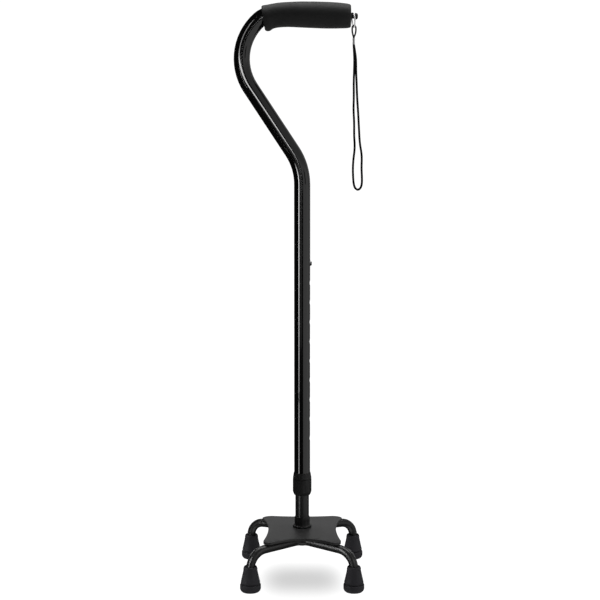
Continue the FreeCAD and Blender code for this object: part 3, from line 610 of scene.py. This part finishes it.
# Rubber tips: one is modelled and the rest are copies.
tip = {
    "sides": 80,
    "profile": [
        (0, 1.4), (6.2, 1.4), (6.5, 0.2), (6.9, 0), (10.5, 0), (11.0, 0.15), (12.3, 1.5), (13.0, 3.0),
        (13.2, 3.8), (13.2, 8.5), (13.1, 9.0), (12.7, 9.35), (12.0, 9.45), (11.4, 9.6), (11.2, 10.0),
        (11.2, 10.5), (11.5, 10.9), (12.15, 11.2), (12.3, 11.7), (12.0, 13.5), (9.3, 25.6), (8.75, 28.3),
        (8.95, 28.7), (8.95, 29.4), (8.6, 30.6), (8.3, 31.6), (8.0, 32.1), (7.6, 32.3), (7.3, 32.1),
        (5.65, 29.4), (5.6, 6.7), (0, 6.7),
    ],
    "panels": {
        "count": 10, "halfAngle": 18, "heights": (13.5, 25.6), "radii": (9, 13), "upward": (0.05, 1.1),
        "edge": 0.5, "depth": 0.22,
    },
    "soleSlots": {
        "count": 12, "halfAngle": 6, "heights": (-1, 1), "radii": (7.2, 10.5), "upward": (-1.1, -0.9),
        "edge": 0.2, "depth": 0.6,
    },
    "edge": 0.12,
}
firstTip = lathe("rubberTip", tip["profile"], tip["sides"])
sinkRound(firstTip, tip["panels"])
sinkRound(firstTip, tip["soleSlots"])
soften(firstTip, tip["edge"], angle=30)
tipPlaces = {
    "tip_front_left": "frontLeftTip",
    "tip_front_right": "frontRightTip",
    "tip_rear_left": "rearLeftTip",
    "tip_rear_right": "rearRightTip",
}
for node, name in tipPlaces.items():
    low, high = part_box(node)
    piece = bpy.data.objects.new(name, firstTip.data.copy())
    scene.collection.objects.link(piece)
    settle(piece, rubber, ((low[0] + high[0]) / 2, (low[1] + high[1]) / 2, 0))
    mount(piece, "base", node)
bpy.data.objects.remove(firstTip)
print("tips moulded")

# Locking collar, with flutes, and the grooved collet above it.
collar = {
    "sides": 144,
    "profile": [
        (11.1, 127.55), (11.55, 127.55), (11.95, 127.35), (12.2, 126.9), (12.2, 125.4), (12.2, 110.9),
        (11.9, 109.9), (10.6, 106.75), (10.2, 106.35), (9.5, 106.3), (9.3, 107.4), (10.1, 107.5),
        (11.1, 111.4), (11.1, 127.55),
    ],
    "flutes": {
        "count": 12, "halfAngle": 4, "heights": (110.9, 125.4), "radii": (12, 13), "upward": (-0.4, 0.4),
        "edge": 0.3, "depth": 0.3,
    },
    "edge": 0.15,
}
sleeveNut = lathe("lockCollar", collar["profile"], collar["sides"])
sinkRound(sleeveNut, collar["flutes"])
soften(sleeveNut, collar["edge"])
settle(sleeveNut, plastic)
mount(sleeveNut, "collar", "lock_collar")

collet = {
    "sides": 96,
    "profile": [
        (10.45, 117.8), (10.45, 136.0), (10.75, 136.0), (10.95, 135.7), (12.0, 129.6), (12.1, 128.9),
        (12.1, 127.8), (11.0, 127.8), (11.0, 111.4), (10.0, 107.8), (9.0, 107.8), (9.0, 117.8),
        (10.45, 117.8),
    ],
    "grooves": {
        "count": 16, "halfAngle": 6.4, "heights": (129.6, 135.7), "radii": (10.6, 13), "upward": (0.05, 1.1),
        "edge": 0.3, "depth": 0.28,
    },
    "fingerGaps": {
        "count": 4, "halfAngle": 4, "heights": (108, 127), "radii": (10.2, 13), "upward": (-1.1, 1.1),
        "edge": 0.1, "depth": 0.5,
    },
    "edge": 0.08,
}
coneRing = lathe("colletCone", collet["profile"], collet["sides"])
sinkRound(coneRing, collet["grooves"])
sinkRound(coneRing, collet["fingerGaps"])
soften(coneRing, collet["edge"])
settle(coneRing, plastic)
mount(coneRing, "upper", "lock_bushing")
print("collar and collet turned")

# End plug: a flange over the tube's end, a tapered boss, a neck for the ring and a round knob.
plug = {
    "sides": 64,
    "profile": [
        (0, -14.0), (7.9, -14.0), (8.9, -13.0), (8.9, 0.0), (10.2, 0.0), (10.2, 0.9), (10.0, 1.3),
        (9.5, 1.5), (6.6, 1.5), (6.3, 1.3), (5.6, 1.3), (5.2, 1.5), (4.6, 1.9), (3.7, 2.7), (3.3, 2.9),
        (3.0, 3.3), (3.0, 5.2), (3.15, 5.6), (3.6, 5.85), (4.05, 6.4), (4.2, 7.1), (4.15, 8.0),
        (3.85, 8.9), (3.3, 9.6), (2.5, 10.1), (1.4, 10.3), (0.9, 10.25), (0.6, 10.05), (0, 10.0),
    ],
    "place": (0.0603, 0, 0.72392),
    "droop": 1.1,
    "edge": 0.15,
}
endPlug = lathe("endPlug", plug["profile"], plug["sides"])
soften(endPlug, plug["edge"], angle=40)
settle(endPlug, plastic, plug["place"], (0, math.radians(90 + plug["droop"]), 0))
mount(endPlug, "upper", "grip_end_plug")

# Socket on the plate, with a flange and shallow windows between its ribs.
socket = {
    "sides": 96,
    "profile": [
        (8.95, 0.05), (12.2, 0.05), (12.2, 1.7), (12.05, 2.1), (11.7, 2.3), (10.7, 2.35), (10.2, 2.6),
        (9.95, 3.2), (9.9, 9.6), (9.85, 12.1), (9.75, 12.9), (9.4, 13.6), (8.95, 13.7), (8.95, 0.05),
    ],
    "windows": {
        "count": 12, "halfAngle": 9, "heights": (3.2, 9.6), "radii": (9.4, 13), "upward": (-1.1, 1.1),
        "edge": 0.35, "depth": 0.35,
    },
    "place": (0, 0, 0.0636),
    "edge": 0.1,
}
footSocket = lathe("footSocket", socket["profile"], socket["sides"])
sinkRound(footSocket, socket["windows"])
soften(footSocket, socket["edge"])
settle(footSocket, plastic, socket["place"])
mount(footSocket, "base", "base_socket")

# Cover over the nut under the plate.
cover = {
    "sides": 64,
    "profile": [
        (7.56, 58.8), (8.4, 58.8), (8.4, 42.2), (8.3, 41.2), (7.7, 40.1), (6.9, 39.45), (6.0, 39.2),
        (2.0, 39.2), (1.6, 39.5), (0, 39.5), (0, 40.6), (6.0, 40.6), (7.56, 42.2), (7.56, 58.8),
    ],
    "edge": 0.12,
}
nutCup = lathe("nutCup", cover["profile"], cover["sides"])
soften(nutCup, cover["edge"])
settle(nutCup, plastic)
mount(nutCup, "base", "nut_cover")

# Snap button: a domed pin on its rivet.
button = {
    "sides": 48,
    "profile": [
        (0, -1.5), (2.2, -1.5), (2.4, -1.3), (2.4, -0.85), (1.5, -0.85), (1.5, 0.05), (3.2, 0.05),
        (3.2, 4.3), (3.1, 4.8), (2.8, 5.3), (2.3, 5.65), (1.6, 5.82), (0.8, 5.88), (0, 5.89),
    ],
    "place": (0.00671, 0, 0.4096),
    "edge": 0.08,
}
snapPin = lathe("snapPin", button["profile"], button["sides"])
soften(snapPin, button["edge"], angle=50)
settle(snapPin, steel, button["place"], (0, math.radians(90), 0))
mount(snapPin, "button", "snap_button")

# Spring clip: the node's own shape, copied with its edges broken.
clip = {
    "node": "spring_clip",
    "edge": 0.1,
    "still": (-0.0005, 0, 0.4096),
    "follows": (0.0058, 0, 0.4096),
}
leafSpring = formedCopy("leafSpring", clip["node"])
soften(leafSpring, clip["edge"], angle=40)
settle(leafSpring, steel, smooth=40)
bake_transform(leafSpring)
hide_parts(clip["node"])

# Crimp on the strap: an upright sleeve pinched at its middle, and deeper than it is wide.
crimp = {
    "sides": 48,
    "profile": [
        (0, 0), (1.3, 0), (1.5, 0.1), (1.6, 0.4), (1.6, 2.3), (1.5, 2.9), (1.38, 3.4), (1.36, 4.4),
        (1.48, 5.0), (1.6, 5.6), (1.6, 7.5), (1.5, 7.8), (1.3, 7.9), (0, 7.9),
    ],
    "halfWidth": 1.6,
    "halfDepth": 2.9,
    "place": (0.06545, 0, 0.6881),
}
ferrule = lathe("crimpSleeve", crimp["profile"], crimp["sides"])
ferrule.scale = (1, crimp["halfDepth"] / crimp["halfWidth"], 1)
settle(ferrule, crimpAlloy, crimp["place"], smooth=60)
mount(ferrule, "strap", "strap_ferrule")
print("plug, socket, cup, button and crimp turned")

# Base plate: the pressed sheet with its cut edges broken.
plate = {
    "node": "base_plate",
    "edge": 0.55,
}
pressed = formedCopy("pressedPlate", plate["node"])
soften(pressed, plate["edge"], angle=40, segments=3)
settle(pressed, plateCoat, smooth=30)
mount(pressed, "base", plate["node"])
print("plate pressed")


def glow(name, power, heights):
    # a plain light-giving finish; its power goes from the first value to the last between the two heights
    shine = Finish(name)
    emit = shine.tree.nodes.new("ShaderNodeEmission")
    out = next(n for n in shine.tree.nodes if n.type == "OUTPUT_MATERIAL")
    shine.tree.links.new(emit.outputs[0], out.inputs["Surface"])
    place = shine.add("ShaderNodeNewGeometry", {}, {}, "Position")
    height = shine.add("ShaderNodeSeparateXYZ", {}, [place], "Z")
    ends = {"From Min": heights[0], "From Max": heights[1], "To Min": power[0], "To Max": power[1]}
    strength = shine.add("ShaderNodeMapRange", {}, {"Value": height, **ends})
    shine.tree.links.new(strength.socket, emit.inputs["Strength"])
    return shine.material


def light(piece, name, power, heights, onlyFor):
    # out of the camera's sight and without a shadow; lights the given pieces only, or all if none is given
    piece.name = name
    piece.data.materials.append(glow(name + "Glow", power, heights))
    piece.visible_camera = False
    piece.visible_shadow = False
    if onlyFor:
        lit = bpy.data.collections.new(name + "Lit")
        for other in onlyFor:
            lit.objects.link(other)
        piece.light_linking.receiver_collection = lit


def card(name, size, place, towards, power, heights=(0, 1), onlyFor=()):
    # a flat panel that faces a place
    bpy.ops.object.select_all(action="DESELECT")
    bpy.ops.mesh.primitive_plane_add(size=1)
    piece = bpy.context.object
    piece.scale = (*size, 1)
    piece.location = place
    aim = Vector(towards) - Vector(place)
    piece.rotation_euler = aim.to_track_quat("-Z", "Y").to_euler()
    light(piece, name, power, heights, onlyFor)


def roundShaft(turn, distance, height, centre=0.0):
    # a place at a turn to the right from the cane's front
    turn = math.radians(turn)
    return centre + distance * math.sin(turn), -distance * math.cos(turn), height


studio = {
    "floorSize": 40,
    "floorTone": 0.8,
    "floorGlow": (0.58, 1.05),     # in the soft shadow's middle, and outside it
    "paintedShadowRadii": (0.005, 0.1),
    "paintedShadowCurve": 23,             # how fast the shadow ends towards both sides
    "paintedShadowMiddle": -0.023,
    "surroundSize": 30,
    "surroundGlow": 1.05,
    "world": 0.01,
    "middle": (0, 0, 0.4),
    "foot": (0, 0, 0.05),
}
tube = nodes["upper_tube"]
slim = [tube, nodes["lower_tube"], nodes["front_leg_tube"], nodes["rear_leg_tube"]]
legs = [nodes[name] for name in ("front_leg_tube", "rear_leg_tube", "leg_welds")]
tips = [bpy.data.objects[name] for name in tipPlaces.values()]
allButTube = [piece for piece in scene.objects if piece.parent and piece is not tube]

bpy.ops.mesh.primitive_plane_add(size=studio["floorSize"])
floor = bpy.context.object
floor.name = "floor"
paleFloor = Finish("paleFloor", roughness=1.0, specular_ior_level=0.0, emission_strength=1.0)
paleFloor.shader.inputs["Base Color"].default_value = (*grey(studio["floorTone"]), 1)
# Painted shadow: the floor's glow is darker in an oval round the base's middle, and even outside it.
x, y = paleFloor.axes()[:2]
across, along = x * x * studio["paintedShadowCurve"], y - studio["paintedShadowMiddle"]
outsidePaintedShadow = (across * across + along * along).root().above(*studio["paintedShadowRadii"])
near, far = studio["floorGlow"]
paleFloor.drive(emission_color=paleFloor.tint(outsidePaintedShadow, grey(near), grey(far)))
floor.data.materials.append(paleFloor.material)
floor.visible_glossy = False
bpy.ops.mesh.primitive_uv_sphere_add(radius=studio["surroundSize"], segments=48, ring_count=24)
surround = bpy.context.object
surround.name = "surround"
surround.data.materials.append(glow("paleSurround", (studio["surroundGlow"],) * 2, (0, 1)))
for flag in ("diffuse", "glossy", "transmission", "volume_scatter", "shadow"):
    setattr(surround, "visible_" + flag, False)

card(
    "leftStrip", size=(0.5, 0.8), place=roundShaft(-47, 2.8, 0.1), towards=(0, 0, 0.1),
    power=(5, 12), heights=(-0.3, 0.25), onlyFor=slim,
)
card(
    "leftFoot", size=(0.17, 0.3), place=roundShaft(-47, 1.0, -0.12), towards=(0, 0, -0.12),
    power=(4.5, 5.5), heights=(-0.2, 0.03), onlyFor=slim,
)
# A black card that keeps a second streak off the bend of the handle.
card("crookFlag", size=(0.075, 0.12), place=(-0.3, -0.205, 0.585), towards=(-0.08, 0, 0.65), power=(0, 0))
# A long lamp whose streak follows the tube's bends: its turns and heights, at one distance from the neck.
neck = {
    "arc": [
        (-39, 1.5), (-40, 1.25), (-41, 1.06), (-42, 0.88), (-37, 0.72), (-22, 0.61), (-8, 0.595), (0, 0.59),
        (5, 0.6),
    ],
    "distance": 1.3,
    "centre": -0.07,
    "radius": 0.08,
}
neckPlaces = [roundShaft(turn, neck["distance"], height, neck["centre"]) for turn, height in neck["arc"]]
neckLine = smoothLine("neckLine", neckPlaces, neck["radius"], roundness=3)
light(neckLine, "neckLine", power=(9, 5), heights=(0.74, 0.92), onlyFor=[tube])
card(
    "softFront", size=(0.3, 0.45), place=(-0.41, -1.43, 0.29), towards=(-0.05, 0, 0.55),
    power=(0.3, 0.3), onlyFor=[tube],
)
card(
    "rightWall", size=(3.17, 2.6), place=(1.3, -1.085, 0.6), towards=(0, -0.478, 0.6),
    power=(0.5, 0.3), heights=(0.75, 1.1),
)
card(
    "rightSide", size=(2.0, 2.4), place=roundShaft(127, 2.0, 0.7), towards=studio["middle"],
    power=(0.27, 0.27),
)
card(
    "topLight", size=(2.6, 0.9), place=(0.1, 0.3, 2.1), towards=studio["middle"],
    power=(5.0, 5.0), onlyFor=allButTube,
)
card(
    "topTube", size=(2.6, 0.9), place=(0.1, 0.3, 2.2), towards=studio["middle"],
    power=(1.0, 1.0), onlyFor=[tube],
)
card("backLow", size=(1.8, 1.0), place=(0.0, 2.2, 0.9), towards=(0, 0, 0.06), power=(0.6, 0.6))
# The lamps below light the base alone.
card(
    "kneeLeft", size=(0.8, 1.2), place=(-2.37, -2.28, 1.25), towards=studio["foot"],
    power=(19, 19), onlyFor=legs,
)
card(
    "kneeRight", size=(0.36, 0.3), place=(1.18, -1.14, 0.6), towards=studio["foot"],
    power=(5, 5), onlyFor=legs,
)
for name, side in (("rimLeft", -0.95), ("rimRight", 0.95)):
    card(
        name, size=(0.5, 0.5), place=(side, 1.96, 0.25), towards=studio["foot"],
        power=(3.2, 3.2), onlyFor=legs,
    )
card(
    "underGlow", size=(1.2, 0.8), place=(0.0, -0.5, -0.9), towards=studio["foot"],
    power=(0.9, 0.9), onlyFor=legs,
)
card(
    "tipFill", size=(1.0, 1.2), place=roundShaft(-80, 1.7, 0.5), towards=(0, 0, 0),
    power=(2.4, 2.4), onlyFor=tips,
)
world = bpy.data.worlds.new("studio")
world.use_nodes = True
background = world.node_tree.nodes["Background"]
background.inputs["Color"].default_value = (1, 1, 1, 1)
background.inputs["Strength"].default_value = studio["world"]
scene.world = world
print("studio lit")
